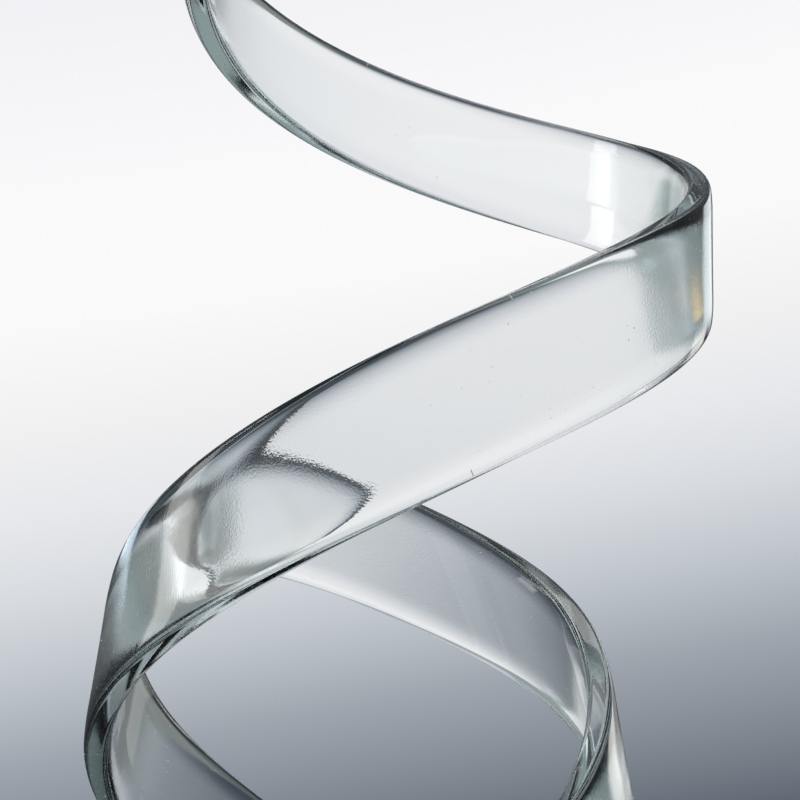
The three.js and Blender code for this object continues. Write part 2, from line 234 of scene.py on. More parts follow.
def ribbonTree():
    tree, n, given, result = newGeometryGroup(
        "ribbonAlongCoil",
        ("Radius", "Width", "Thickness", "Edge Radius", "Length", "Foot Length", "Bend Length",
         "Tip Length", "Foot Angle", "Slope", "Ease", "Droop", "Droop Length", "Bank",
         "Bank Gain", "Ovalness", "Lean", "Axis Start", "Foot Height", "Crown",
         "Roll Width", "Roll Depth", "Wave", "Wave Length", "Seed"),
        ("Rows", "Tip Rows", "Section Points"))
    m = n.math

    # Grid of rows along the ribbon and points round its section, with one column to close the seam
    columns = m("ADD", given["Section Points"], 1)
    grid = n.add("GeometryNodeMeshGrid")
    n.feed(grid.inputs["Vertices X"], given["Rows"])
    n.feed(grid.inputs["Vertices Y"], columns)
    index = n.add("GeometryNodeInputIndex").outputs[0]
    row = m("FLOOR", m("DIVIDE", m("ADD", index, 0.5), columns))
    column = m("SUBTRACT", index, m("MULTIPLY", row, columns))

    # Length along the ribbon of a row: row 0 closes the foot, and rows crowd together at the tip
    lastMain = m("SUBTRACT", given["Rows"], given["Tip Rows"])

    def alongRow(someRow):
        main = m("DIVIDE", m("MAXIMUM", m("SUBTRACT", someRow, 1), 0), m("SUBTRACT", lastMain, 1))
        beforeTip = m("SUBTRACT", given["Length"], given["Tip Length"])
        intoTip = m("DIVIDE", m("MAXIMUM", m("SUBTRACT", someRow, lastMain), 0),
                    m("SUBTRACT", given["Tip Rows"], 1))
        curved = m("SINE", m("MULTIPLY", m("MINIMUM", intoTip, 1), math.pi / 2))
        return m("ADD", m("MULTIPLY", m("MINIMUM", main, 1), beforeTip),
                 m("MULTIPLY", curved, given["Tip Length"]))

    along = alongRow(row)
    before = alongRow(m("MAXIMUM", m("SUBTRACT", row, 1), 0))
    step = m("SUBTRACT", along, before)
    halfway = m("MULTIPLY", m("ADD", along, before), 0.5)

    def coilShare(someAlong):
        pastFoot = m("SUBTRACT", someAlong, given["Foot Length"])
        return n.remap(m("DIVIDE", pastFoot, given["Bend Length"]), 0, 1, 0, 1, smoothly=True)

    def pastBend(someAlong):
        bendEnd = m("ADD", given["Foot Length"], given["Bend Length"])
        return m("MAXIMUM", m("SUBTRACT", someAlong, bendEnd), 0)

    def slope(someAlong):
        droopStart = m("SUBTRACT", given["Length"], given["Droop Length"])
        droopShare = n.remap(someAlong, droopStart, given["Length"], 0, 1, smoothly=True)
        eased = m("ADD", m("MULTIPLY", given["Ease"], pastBend(someAlong)),
                  m("MULTIPLY", given["Droop"], droopShare))
        onCoil = m("SUBTRACT", given["Slope"], eased)
        turned = m("MULTIPLY", m("SUBTRACT", onCoil, math.pi / 2), coilShare(someAlong))
        return m("ADD", turned, math.pi / 2)

    def summed(value):
        node = n.add("GeometryNodeAccumulateField", data_type="FLOAT", domain="POINT")
        n.feed(node.inputs["Value"], value)
        n.feed(node.inputs["Group Index"], column)
        return node.outputs["Leading"]

    middleSlope = slope(halfway)
    climbed = m("MULTIPLY", m("SINE", middleSlope), step)
    turn = m("ADD", given["Foot Angle"],
             summed(m("DIVIDE", m("MULTIPLY", m("COSINE", middleSlope), step), given["Radius"])))
    height = summed(climbed)
    shift = m("MULTIPLY", given["Lean"], summed(m("MULTIPLY", climbed, coilShare(halfway))))

    # Oval path round the leaning axis, and its forward, outward and upward directions
    angle = m("ADD", turn, m("MULTIPLY", m("MULTIPLY", given["Ovalness"], 0.5),
                             m("SINE", m("MULTIPLY", turn, 2))))
    double = m("MULTIPLY", angle, 2)
    radius = m("MULTIPLY", given["Radius"],
               m("SUBTRACT", 1, m("MULTIPLY", given["Ovalness"], m("COSINE", double))))
    growth = m("MULTIPLY", m("MULTIPLY", given["Radius"], m("MULTIPLY", given["Ovalness"], 2)),
               m("SINE", double))
    cosine = m("COSINE", angle)
    sine = m("SINE", angle)
    middle = n.combine(
        m("ADD", m("ADD", given["Axis Start"], shift), m("MULTIPLY", radius, cosine)),
        m("MULTIPLY", radius, sine),
        m("ADD", given["Foot Height"], height))
    forward = n.vector("NORMALIZE", n.combine(
        m("SUBTRACT", m("MULTIPLY", growth, cosine), m("MULTIPLY", radius, sine)),
        m("ADD", m("MULTIPLY", growth, sine), m("MULTIPLY", radius, cosine)),
        0.0))
    outward = n.vector("CROSS_PRODUCT", forward, (0, 0, 1))
    steepness = slope(along)
    upward = n.vector("ADD", n.vector("SCALE", forward, m("MULTIPLY", m("SINE", steepness), -1)),
                      n.combine(0.0, 0.0, m("COSINE", steepness)))
    gained = m("MULTIPLY", given["Bank Gain"], pastBend(along))
    bank = m("MULTIPLY", m("ADD", given["Bank"], gained), coilShare(along))
    bankCosine = m("COSINE", bank)
    bankSine = m("SINE", bank)
    across = n.vector("ADD", n.vector("SCALE", upward, bankCosine),
                      n.vector("SCALE", outward, bankSine))
    through = n.vector("SUBTRACT", n.vector("SCALE", outward, bankCosine),
                       n.vector("SCALE", upward, bankSine))

    # Rounded section: the corners take most of the points
    fromTip = m("SUBTRACT", given["Length"], along)

    def rounding(reach):
        share = m("SUBTRACT", 1, m("MINIMUM", m("DIVIDE", fromTip, reach), 1))
        return m("SQRT", m("MAXIMUM", m("SUBTRACT", 1, m("MULTIPLY", share, share)), 0))

    halfWidth = m("MULTIPLY", m("MULTIPLY", given["Width"], 0.5), rounding(given["Tip Length"]))
    halfThickness = m("MULTIPLY", m("MULTIPLY", given["Thickness"], 0.5),
                      rounding(given["Edge Radius"]))
    corner = m("MINIMUM", given["Edge Radius"],
               m("MINIMUM", m("MULTIPLY", halfWidth, mostCorner),
                 m("MULTIPLY", halfThickness, mostCorner)))
    quarters = m("DIVIDE", m("MULTIPLY", column, 4), given["Section Points"])
    flatAngle = math.asin(1 / cornerSharpness)
    intoQuarter = m("PINGPONG", quarters, 1)  # 0 in the middle of an edge, 1 in that of a face
    folded = m("ADD", n.remap(intoQuarter, 0, cornerFrom, 0, flatAngle), m("ADD",
        n.remap(intoQuarter, cornerFrom, cornerTo, 0, math.pi / 2 - 2 * flatAngle),
        n.remap(intoQuarter, cornerTo, 1, 0, flatAngle)))
    evenly = m("MULTIPLY", quarters, math.pi / 2)
    acrossShare = m("MULTIPLY", m("SIGN", m("COSINE", evenly)), m("COSINE", folded))
    throughShare = m("MULTIPLY", m("SIGN", m("SINE", evenly)), m("SINE", folded))
    cornerTurn = n.remap(folded, flatAngle, math.pi / 2 - flatAngle, 0, math.pi / 2)

    def sectionSide(share, half, cornerPart):
        flat = m("MINIMUM", m("MAXIMUM", m("MULTIPLY", share, cornerSharpness), -1), 1)
        rounded = m("MULTIPLY", m("MULTIPLY", m("SIGN", share), corner), cornerPart)
        return m("ADD", m("MULTIPLY", flat, m("SUBTRACT", half, corner)), rounded)

    sideAcross = sectionSide(acrossShare, halfWidth, m("COSINE", cornerTurn))
    sideThrough = sectionSide(throughShare, halfThickness, m("SINE", cornerTurn))

    # Crowned faces and the slow waves of hot-drawn glass, both gone at the foot
    side = m("MULTIPLY", m("SIGN", throughShare), m("ABSOLUTE", m("SINE", cornerTurn)))
    faceShare = m("DIVIDE", sideAcross, m("MAXIMUM", halfWidth, tiny))
    domed = m("SUBTRACT", 1, m("MULTIPLY", faceShare, faceShare))
    crown = m("MULTIPLY", m("MULTIPLY", given["Crown"], domed), side)
    sideSeed = m("ADD", given["Seed"], m("MULTIPLY", m("SIGN", throughShare), seedStep))
    waveScale = m("DIVIDE", 1, given["Wave Length"])
    drift = n.noise(middle, waveScale, detail=1.0, dimensions="4D", w=sideSeed)
    wavePlace = n.vector("ADD", middle, n.vector("SCALE", across, sideAcross))
    ripple = n.noise(wavePlace, waveScale, detail=2.0, dimensions="4D", w=sideSeed)
    waves = m("ADD", m("SUBTRACT", drift, 0.5), m("SUBTRACT", ripple, 0.5))
    free = m("MULTIPLY", coilShare(along), rounding(given["Tip Length"]))
    unevenness = m("MULTIPLY", m("MULTIPLY", waves, given["Wave"]), free)
    widestRoll = m("MAXIMUM", m("MULTIPLY", halfWidth, mostRoll), tiny)
    rollWidth = m("MINIMUM", given["Roll Width"], widestRoll)
    inward = m("DIVIDE", m("SUBTRACT", halfWidth, m("ABSOLUTE", sideAcross)), rollWidth)
    rolled = m("SUBTRACT", 1, m("MINIMUM", inward, 1))
    fall = m("MULTIPLY", m("MULTIPLY", given["Roll Depth"], m("MULTIPLY", rolled, rolled)), free)
    lift = m("SUBTRACT", m("ADD", crown, unevenness), m("MULTIPLY", fall, side))
    closing = m("GREATER_THAN", row, 0.5)  # row 0 shrinks to a point and closes the foot
    place = n.vector("ADD", middle, n.vector("ADD",
        n.vector("SCALE", across, m("MULTIPLY", sideAcross, closing)),
        n.vector("SCALE", through, m("MULTIPLY", m("ADD", sideThrough, lift), closing))))

    moved = n.add("GeometryNodeSetPosition")
    n.feed(moved.inputs["Geometry"], grid.outputs["Mesh"])
    n.feed(moved.inputs["Position"], place)
    sideways = m("MULTIPLY", m("DIVIDE", column, given["Section Points"]),
                 m("MULTIPLY", m("ADD", given["Width"], given["Thickness"]), 2))
    marked = moved.outputs[0]  # ribbonMap is for textures, the other two for the glass
    for name, value, kind, domain in (
            ("ribbonMap", n.combine(along, sideways, 0.0), "FLOAT2", "CORNER"),
            ("nearEdge", rolled, "FLOAT", "POINT"),
            ("outerSide", n.remap(throughShare, -sideStep, sideStep, 0, 1), "FLOAT", "POINT")):
        stored = n.add("GeometryNodeStoreNamedAttribute", data_type=kind, domain=domain)
        n.feed(stored.inputs["Geometry"], marked)
        n.feed(stored.inputs["Name"], name)
        n.feed(stored.inputs["Value"], value)
        marked = stored.outputs[0]
    merged = n.add("GeometryNodeMergeByDistance")
    n.feed(merged.inputs["Geometry"], marked)
    n.feed(merged.inputs["Distance"], mergeDistance)
    outwards = n.add("GeometryNodeFlipFaces")  # the grid comes inside out
    n.feed(outwards.inputs[0], merged.outputs[0])
    shaded = n.add("GeometryNodeSetShadeSmooth")
    n.feed(shaded.inputs["Geometry"], outwards.outputs[0])
    finishGroup(n, given, result, shaded.outputs[0])
    return tree


def makeRibbon(name, ribbon, tree, material):
    return grow(name, bpy.data.meshes.new(name), tree, {
        "Radius": ribbon["radius"] * mm,
        "Width": (ribbon["width"] - 2 * coil["edgeLoss"]) * mm,
        "Thickness": coil["thickness"] * mm,
        "Edge Radius": coil["edgeRadius"] * mm,
        "Length": ribbon["length"] * mm,
        "Foot Length": coil["footLength"] * mm,
        "Bend Length": coil["bendLength"] * mm,
        "Tip Length": ribbon["tipLength"] * mm,
        "Foot Angle": ribbon["footAngle"] * degree,
        "Slope": ribbon["slope"] * degree,
        "Ease": ribbon["ease"] * degree / (gainLength * mm),
        "Droop": ribbon["droop"] * degree,
        "Droop Length": ribbon["droopLength"] * mm,
        "Bank": ribbon["bank"] * degree,
        "Bank Gain": ribbon["bankGain"] * degree / (gainLength * mm),
        "Ovalness": coil["ovalness"],
        "Lean": coil["lean"],
        "Axis Start": axisStart,
        "Foot Height": footHeight,
        "Crown": coil["crown"] * mm,
        "Roll Width": coil["rollWidth"] * mm,
        "Roll Depth": coil["rollDepth"] * mm,
        "Wave": coil["wave"] * mm,
        "Wave Length": coil["waveLength"] * mm,
        "Seed": ribbon["seed"],
        "Rows": ribbon["rows"],
        "Tip Rows": ribbon["tipRows"],
        "Section Points": sectionPoints,
        "Material": material,
    })


# Materials

def newMaterial(name):
    material = bpy.data.materials.new(name)
    material.use_nodes = True
    material.node_tree.nodes.clear()
    n = NodeWriter(material.node_tree)
    shader = n.add("ShaderNodeBsdfPrincipled")
    output = n.add("ShaderNodeOutputMaterial")
    n.feed(output.inputs["Surface"], shader.outputs[0])
    return material, n, shader, output


def objectPlace(n):
    return n.add("ShaderNodeTexCoord").outputs["Object"]


def bumped(n, shader, height, depth, strength):
    bump = n.add("ShaderNodeBump")
    n.feed(bump.inputs["Strength"], strength)
    bump.inputs["Distance"].default_value = depth
    n.feed(bump.inputs["Height"], height)
    n.feed(shader.inputs["Normal"], bump.outputs[0])


glassLook = dict(
    colour=(0.998, 1.0, 0.999),
    ior=1.5,
    tint=(0.5, 0.7, 0.73),  # what is left of white after the absorption
    density=15.0,
    peelScale=2500.0,  # fine orange peel, bumps to the metre
    peelDepth=0.000016,
    dapple=120.0,  # slower change of the peel's strength
    dappleFrom=0.35, dappleTo=0.65, weakestPeel=0.35,
    faceFrom=0.25, faceTo=0.8,  # where the worked face ends towards an edge
    innerShare=0.1,  # of the work, left on the inner side, which kept its fire polish
    frostScale=30.0, frostFrom=0.42, frostTo=0.62,
    roughness=0.012,
    edgeRoughness=0.055, edgeFrom=0.3, edgeTo=0.9,
    frostRoughness=0.12,
    shadowClearness=0.85,  # share of the light that passes in shadows
)


def glassMaterial():
    material, n, shader, output = newMaterial("clearRibbonGlass")
    look = glassLook
    spot = objectPlace(n)
    shader.inputs["Base Color"].default_value = (*look["colour"], 1)
    shader.inputs["IOR"].default_value = look["ior"]
    shader.inputs["Transmission Weight"].default_value = 1.0
    nearEdge = n.add("ShaderNodeAttribute", attribute_name="nearEdge").outputs["Fac"]
    outer = n.add("ShaderNodeAttribute", attribute_name="outerSide").outputs["Fac"]
    worked = n.remap(outer, 0, 1, look["innerShare"], 1)
    onFace = n.remap(nearEdge, look["faceFrom"], look["faceTo"], 1, 0, smoothly=True)
    face = n.math("MULTIPLY", onFace, worked)
    clouds = n.noise(spot, look["frostScale"], detail=2.0)
    patches = n.remap(clouds, look["frostFrom"], look["frostTo"], 0, 1, smoothly=True)
    frosted = n.math("MULTIPLY", face, patches)
    clearer = n.remap(nearEdge, look["edgeFrom"], look["edgeTo"],
                      look["roughness"], look["edgeRoughness"])
    frostAdded = n.math("MULTIPLY", frosted, look["frostRoughness"])
    n.feed(shader.inputs["Roughness"], n.math("ADD", clearer, frostAdded))
    peel = n.noise(spot, look["peelScale"], detail=1.5)
    strength = n.remap(n.noise(spot, look["dapple"]), look["dappleFrom"], look["dappleTo"],
                       look["weakestPeel"], 1.0)
    bumped(n, shader, peel, look["peelDepth"], n.math("MULTIPLY", strength, face))
    absorb = n.add("ShaderNodeVolumeAbsorption")
    absorb.inputs["Color"].default_value = (*look["tint"], 1)
    absorb.inputs["Density"].default_value = look["density"]
    n.feed(output.inputs["Volume"], absorb.outputs[0])
    clear = n.add("ShaderNodeBsdfTransparent")
    mix = n.add("ShaderNodeMixShader")
    inShadow = n.add("ShaderNodeLightPath").outputs["Is Shadow Ray"]
    n.feed(mix.inputs[0], n.math("MULTIPLY", inShadow, look["shadowClearness"]))
    n.feed(mix.inputs[1], shader.outputs[0])
    n.feed(mix.inputs[2], clear.outputs[0])
    n.feed(output.inputs["Surface"], mix.outputs[0])
    return material


# Shared effects, as shader groups

grainLow, grainHigh = 0.3, 0.7  # where the noise becomes fully dark and fully bright
smearLook = dict(stretch=(1.0, 2.2, 1.4), scale=34.0, low=0.46, high=0.66)
dustLook = dict(
    cloudScale=26.0, cloudLow=0.4, cloudHigh=0.7, thinnest=0.15,
    speckScale=1900.0, speckLow=0.66, speckHigh=0.74,
    film=0.16,  # dust between the specks
    colour=(0.5, 0.49, 0.47),
    duller=0.3,  # what thick dust adds to the roughness
)


def grainGroup():
    group, n, given, result = newGroup(
        "fineGrain", "ShaderNodeTree",
        (("Vector", "Vector"), ("Scale", "Float"), ("Low", "Float"), ("High", "Float")),
        (("Value", "Float"), ("Height", "Float")))
    grain = n.noise(given["Vector"], given["Scale"], detail=3.0, roughness=0.6)
    n.feed(result["Value"], n.remap(grain, grainLow, grainHigh, given["Low"], given["High"]))
    n.feed(result["Height"], grain)
    return group


def handledGroup():
    group, n, given, result = newGroup(
        "handled", "ShaderNodeTree",
        (("Vector", "Vector"), ("Roughness", "Float"), ("Amount", "Float")),
        (("Roughness", "Float"),))
    look = smearLook
    stretched = n.vector("MULTIPLY", given["Vector"], look["stretch"])
    smears = n.noise(stretched, look["scale"], detail=4.0, roughness=0.62)
    share = n.remap(smears, look["low"], look["high"], 0, 1, smoothly=True)
    change = n.math("MULTIPLY", share, given["Amount"])
    n.feed(result["Roughness"], n.math("ADD", given["Roughness"], change))
    return group


def dustGroup():
    group, n, given, result = newGroup(
        "settledDust", "ShaderNodeTree",
        (("Vector", "Vector"), ("Colour", "Color"), ("Roughness", "Float"), ("Amount", "Float")),
        (("Colour", "Color"), ("Roughness", "Float")))
    look = dustLook
    clouds = n.remap(n.noise(given["Vector"], look["cloudScale"], detail=3.0),
                     look["cloudLow"], look["cloudHigh"], look["thinnest"], 1)
    specks = n.remap(n.noise(given["Vector"], look["speckScale"], detail=1.0),
                     look["speckLow"], look["speckHigh"], 0, 1)
    film = n.math("MULTIPLY", clouds, look["film"])
    settled = n.math("ADD", film, n.math("MULTIPLY", specks, clouds))
    share = n.math("MULTIPLY", settled, given["Amount"], clamp=True)
    n.feed(result["Colour"], n.mixColour(share, given["Colour"], look["colour"]))
    duller = n.math("MULTIPLY", share, look["duller"])
    n.feed(result["Roughness"], n.math("ADD", given["Roughness"], duller, clamp=True))
    return group


grain, handled, settledDust = grainGroup(), handledGroup(), dustGroup()


def place(n, group, **values):
    node = n.add("ShaderNodeGroup", node_tree=group)
    for name, value in values.items():
        n.feed(node.inputs[name.capitalize()], value)
    return node.outputs


def dusty(n, shader, spot, colour, roughness, amount):
    dust = place(n, settledDust, vector=spot, colour=colour, roughness=roughness, amount=amount)
    n.feed(shader.inputs["Base Color"], dust["Colour"])
    n.feed(shader.inputs["Roughness"], dust["Roughness"])


def weathered(n, shader, spot, marks, colour, look):  # handling, dust and the marks' depth
    smeared = place(n, handled, vector=spot, amount=look["handled"],
                    roughness=n.remap(marks["Value"], 0, 1, *look["roughness"]))
    dusty(n, shader, spot, colour, smeared["Roughness"], look["dust"])
    shader.inputs["Metallic"].default_value = look["metallic"]
    bumped(n, shader, marks["Height"], look["markDepth"], look["markStrength"])


baseLook = dict(
    colour=(0.016, 0.017, 0.019), paler=(0.034, 0.035, 0.038),
    rubbed=(0.3, 0.3, 0.31),  # bare aluminium where the rim is rubbed
    ringScale=1500.0,  # turning marks to the metre
    patchScale=40.0,
    rimFrom=0.0825, rimWidth=0.001, rimAbove=0.0232, rimHeight=0.0008,
    wearScale=320.0, wearFrom=0.56, wearTo=0.66, mostWear=0.8,
    roughness=(0.3, 0.4), handled=0.05, dust=0.16, metallic=0.85,
    markDepth=0.00003, markStrength=0.6,
)


def blackAnodised():
    material, n, shader, _ = newMaterial("blackAnodised")
    look = baseLook
    spot = objectPlace(n)
    parts = n.add("ShaderNodeSeparateXYZ")
    n.feed(parts.inputs[0], spot)
    x, y, z = parts.outputs
    radius = n.math("SQRT", n.math("ADD", n.math("MULTIPLY", x, x), n.math("MULTIPLY", y, y)))
    ringPlace = n.combine(radius, 0.0, z)
    rings = place(n, grain, vector=ringPlace, scale=look["ringScale"], low=0.0, high=1.0)
    patches = n.noise(spot, look["patchScale"], detail=3.0)
    share = n.math("MULTIPLY", rings["Value"], patches)
    colour = n.mixColour(share, look["colour"], look["paler"])
    rim = n.math("MULTIPLY",
                 n.remap(radius, look["rimFrom"], look["rimFrom"] + look["rimWidth"], 0, 1),
                 n.remap(z, look["rimAbove"], look["rimAbove"] + look["rimHeight"], 0, 1))
    wear = n.remap(n.noise(spot, look["wearScale"], detail=4.0),
                   look["wearFrom"], look["wearTo"], 0, look["mostWear"])
    colour = n.mixColour(n.math("MULTIPLY", rim, wear), colour, look["rubbed"])
    weathered(n, shader, spot, rings, colour, look)
    return material


steelLook = dict(
    turn=-42,  # degrees, the way the clamps' long sides point
    streaks=(24, 1900, 1900),  # marks to the metre along and across the brushing
    colour=(0.5, 0.5, 0.505), brighter=(0.66, 0.66, 0.655),
    roughness=(0.2, 0.34), handled=0.12, dust=0.3, metallic=1.0,
    markDepth=0.00002, markStrength=0.5,
)


def brushedSteel():
    material, n, shader, _ = newMaterial("brushedSteel")
    look = steelLook
    spot = objectPlace(n)
    turned = n.add("ShaderNodeVectorRotate", rotation_type="Z_AXIS")
    n.feed(turned.inputs["Vector"], spot)
    n.feed(turned.inputs["Angle"], -look["turn"] * degree)
    along = n.vector("MULTIPLY", turned.outputs[0], look["streaks"])
    brushed = place(n, grain, vector=along, scale=1.0, low=0.0, high=1.0)
    colour = n.mixColour(brushed["Value"], look["colour"], look["brighter"])
    weathered(n, shader, spot, brushed, colour, look)
    return material


screwLook = dict(
    grainScale=2600.0, colour=(0.4, 0.4, 0.41), brighter=(0.58, 0.58, 0.585),
    roughness=(0.18, 0.3), handled=0.15, dust=0.4, metallic=1.0,
    markDepth=0.00002, markStrength=0.4,
)
siliconeLook = dict(
    grainScale=1600.0, colour=(0.045, 0.047, 0.05), brighter=(0.075, 0.077, 0.08),
    roughness=(0.5, 0.62), handled=-0.12, dust=0.8, metallic=0.0,
    markDepth=0.00005, markStrength=0.6,
)


def evenFinish(name, look):
    material, n, shader, _ = newMaterial(name)
    spot = objectPlace(n)
    fine = place(n, grain, vector=spot, scale=look["grainScale"], low=0.0, high=1.0)
    colour = n.mixColour(fine["Value"], look["colour"], look["brighter"])
    weathered(n, shader, spot, fine, colour, look)
    return material


corkLook = dict(
    granules=430.0,  # to the metre
    stops=((0.0, (0.13, 0.065, 0.028)), (0.3, (0.33, 0.19, 0.09)), (0.65, (0.47, 0.29, 0.15)),
           (1.0, (0.58, 0.39, 0.22))),
    joints=(0.1, 0.052, 0.024), jointFrom=0.45, jointTo=0.75, jointShare=0.75,
    grainScale=1500.0, grainShare=0.35, grainColour=(0.2, 0.11, 0.05),
    roughness=(0.8, 0.93), dust=0.25, markDepth=0.00025, markStrength=0.7,
)


def pressedCork():
    material, n, shader, _ = newMaterial("pressedCork")
    look = corkLook
    spot = objectPlace(n)
    cells = n.add("ShaderNodeTexVoronoi")
    n.feed(cells.inputs["Vector"], spot)
    n.feed(cells.inputs["Scale"], look["granules"])
    tone = n.add("ShaderNodeSeparateColor")
    n.feed(tone.inputs[0], cells.outputs["Color"])
    joints = n.remap(cells.outputs["Distance"], look["jointFrom"], look["jointTo"],
                     0, look["jointShare"])
    fine = place(n, grain, vector=spot, scale=look["grainScale"], low=0.0, high=look["grainShare"])
    colour = n.mixColour(joints, n.ramp(tone.outputs[0], *look["stops"]), look["joints"])
    colour = n.mixColour(fine["Value"], colour, look["grainColour"])
    roughness = n.remap(fine["Height"], grainLow, grainHigh, *look["roughness"])
    dusty(n, shader, spot, colour, roughness, look["dust"])
    bumped(n, shader, n.math("ADD", fine["Height"], joints), look["markDepth"],
           look["markStrength"])
    return material


finishes = {
    "base_metal": blackAnodised(),
    "clamp_steel": brushedSteel(),
    "screw_steel": evenFinish("turnedSteel", screwLook),
    "silicone": evenFinish("darkSilicone", siliconeLook),
    "cork": pressedCork(),
}


# Seeds in the glass and specks of dust on it, thickest along its edges

speckLook = dict(
    onFaces=50000.0, onEdges=110000.0,  # to the square metre
    edgePower=1.6,  # how closely the specks keep to the edges
    driftScale=55.0, driftFrom=0.42, driftTo=0.62, thinnest=0.15,
    smallest=0.04, largest=0.14,  # radius in millimetres
    smallPower=3.2,  # most specks are small
    clearOver=20,  # wiped clean round the clamps, millimetres above the foot
    colour=(0.93, 0.94, 0.93), duller=(0.7, 0.7, 0.68), grainScale=900.0,
    roughness=(0.4, 0.7),
)
speckFaces = 20  # of an icosphere with one subdivision


def speckTree():
    look = speckLook
    tree, n, given, result = newGeometryGroup(
        "specksOnGlass", ("On Faces", "On Edges", "Smallest", "Largest", "Free From"), ("Seed",))
    m = n.math

    near = n.add("GeometryNodeInputNamedAttribute", data_type="FLOAT")
    n.feed(near.inputs["Name"], "nearEdge")
    spot = n.add("GeometryNodeInputPosition").outputs[0]
    height = n.add("ShaderNodeSeparateXYZ")
    n.feed(height.inputs[0], spot)
    drifts = n.remap(n.noise(spot, look["driftScale"], detail=2.0),
                     look["driftFrom"], look["driftTo"], look["thinnest"], 1.0)
    above = m("GREATER_THAN", height.outputs[2], given["Free From"])
    edge = m("POWER", near.outputs[0], look["edgePower"])
    density = m("MULTIPLY", m("MULTIPLY", drifts, above),
                m("ADD", given["On Faces"], m("MULTIPLY", edge, given["On Edges"])))
    points = n.add("GeometryNodeDistributePointsOnFaces")
    n.feed(points.inputs["Mesh"], given["Geometry"])
    n.feed(points.inputs["Density"], density)
    n.feed(points.inputs["Seed"], given["Seed"])
    size = n.add("FunctionNodeRandomValue", data_type="FLOAT")
    n.feed(size.inputs[2], 0.0)
    n.feed(size.inputs[3], 1.0)
    n.feed(size.inputs["Seed"], given["Seed"])
    mostlySmall = m("POWER", size.outputs[1], look["smallPower"])
    radius = m("ADD", given["Smallest"],
               m("MULTIPLY", mostlySmall, m("SUBTRACT", given["Largest"], given["Smallest"])))
    speck = n.add("GeometryNodeMeshIcoSphere")
    n.feed(speck.inputs["Radius"], 1.0)
    n.feed(speck.inputs["Subdivisions"], 1)
    copies = n.add("GeometryNodeInstanceOnPoints")
    n.feed(copies.inputs["Points"], points.outputs["Points"])
    n.feed(copies.inputs["Instance"], speck.outputs["Mesh"])
    n.feed(copies.inputs["Scale"], n.combine(radius, radius, radius))
    finishGroup(n, given, result, copies.outputs[0])
    return tree


def speckMaterial():
    material, n, shader, _ = newMaterial("paleSpecks")
    spot = objectPlace(n)
    look = speckLook
    fine = place(n, grain, vector=spot, scale=look["grainScale"], low=0.0, high=1.0)
    n.feed(shader.inputs["Base Color"],
           n.mixColour(fine["Value"], look["duller"], look["colour"]))
    n.feed(shader.inputs["Roughness"], n.remap(fine["Value"], 0, 1, *look["roughness"]))
    return material


def makeSpecks(name, piece, seed, tree, material):
    return grow(name, piece.data.copy(), tree, {
        "On Faces": speckLook["onFaces"],
        "On Edges": speckLook["onEdges"],
        "Smallest": speckLook["smallest"] * mm,
        "Largest": speckLook["largest"] * mm,
        "Free From": footHeight + speckLook["clearOver"] * mm,
        "Seed": seed,
        "Material": material,
    })


glass, specks = glassMaterial(), speckMaterial()
coilTree, specksTree = ribbonTree(), speckTree()
for kind, ribbon in ribbons.items():
    piece = makeRibbon(kind + "_glass_ribbon", ribbon, coilTree, glass)
    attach(piece, "root")
    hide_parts(kind + "_ribbon")
    scatter = makeSpecks(kind + "_ribbon_specks", piece, int(ribbon["seed"]), specksTree, specks)
    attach(scatter, "root")
    print(piece.name, len(piece.data.vertices), "points;",
          len(scatter.data.polygons) // speckFaces, "specks")

slots = {s["node"]: s["material_slot"] for s in frame["record"]["subparts"]}
for name, node in frame["nodes"].items():
    if name.endswith("_ribbon"):
        continue
    node.data.materials.clear()
    node.data.materials.append(finishes[slots[name]])
print("finishes set")


# The world: what the camera and the glass see, and a soft light for the rest

